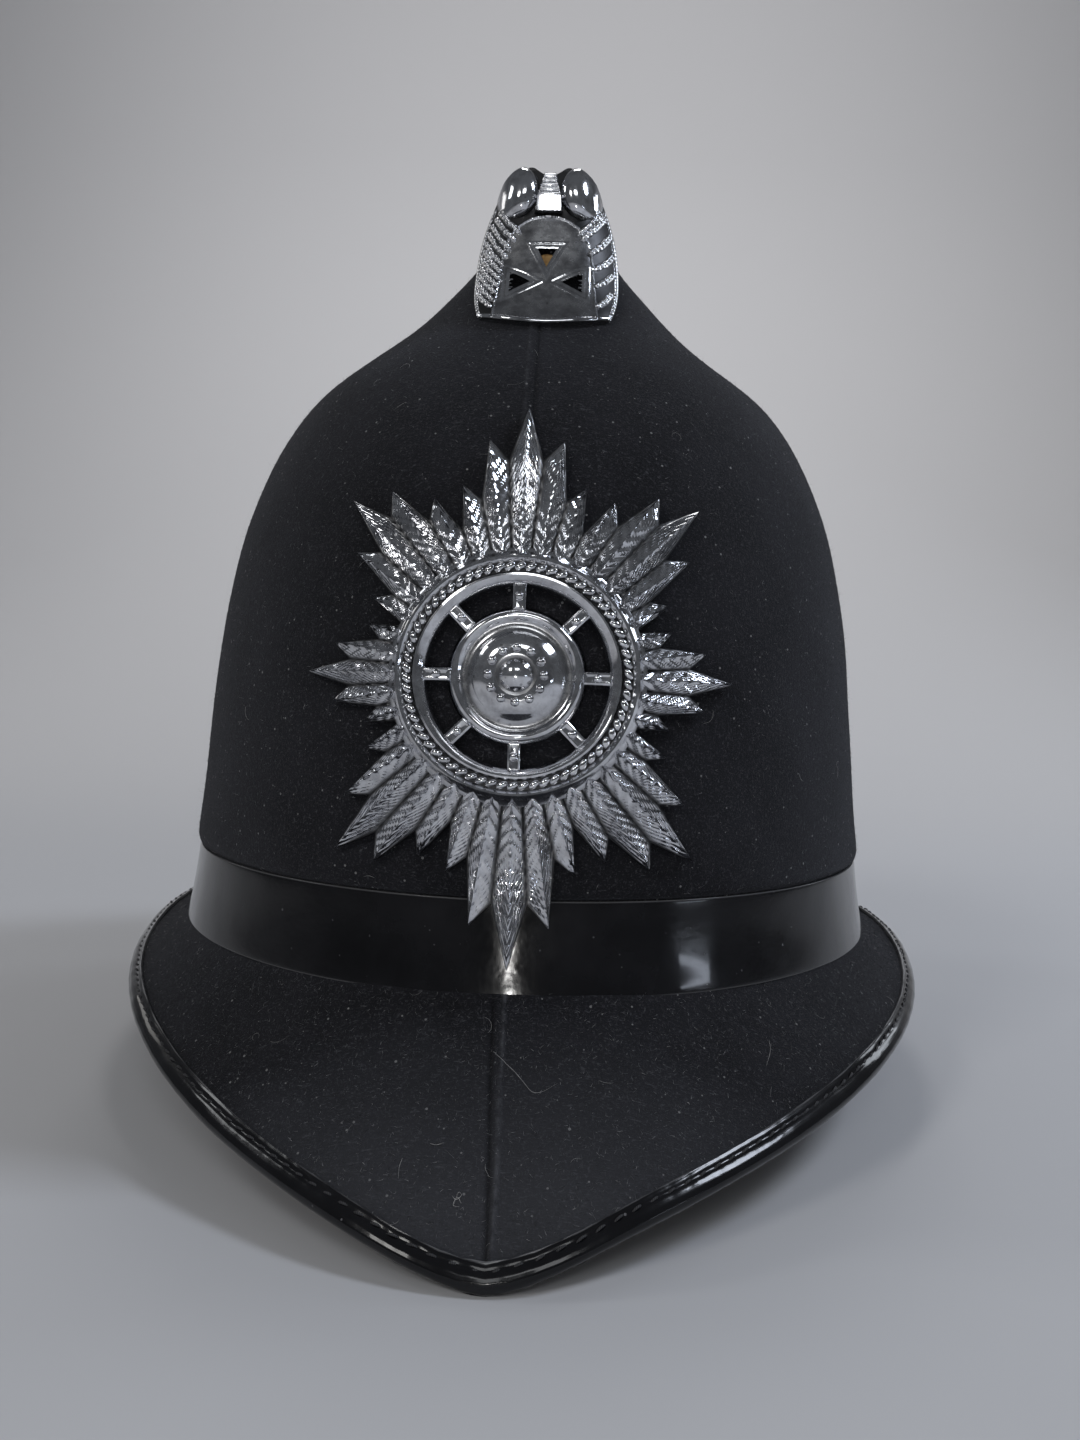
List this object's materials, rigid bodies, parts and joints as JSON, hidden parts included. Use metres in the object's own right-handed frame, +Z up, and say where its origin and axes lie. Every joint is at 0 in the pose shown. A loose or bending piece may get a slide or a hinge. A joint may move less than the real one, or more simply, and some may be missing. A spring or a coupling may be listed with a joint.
{
  "type": "police helmet",
  "caption": "Tall black felt helmet with a comb, flared brim with a pointed front peak, patent band and edge binding, rayed chrome plate and pierced chrome comb mount.",
  "frame": {"origin": "under the middle of the helmet's box, on the floor that the brim rests on", "axes": "+Z up through the head opening, -Y to the front peak, +X to the right of the plate as seen from the front"},
  "size_m": [0.2316, 0.3112, 0.2371],
  "materials": {
    "black_felt": "brushed wool felt, matte",
    "black_patent": "glossy patent",
    "chrome": "polished plating",
    "brown_brass": "dull, aged"
  },
  "bodies": {
    "root": {"crown": "black_felt", "brim": "black_felt", "band": "black_patent", "edge_binding": "black_patent", "badge": "chrome", "top_mount": "chrome", "mount_stud": "brown_brass"}
  },
  "joints": []
}
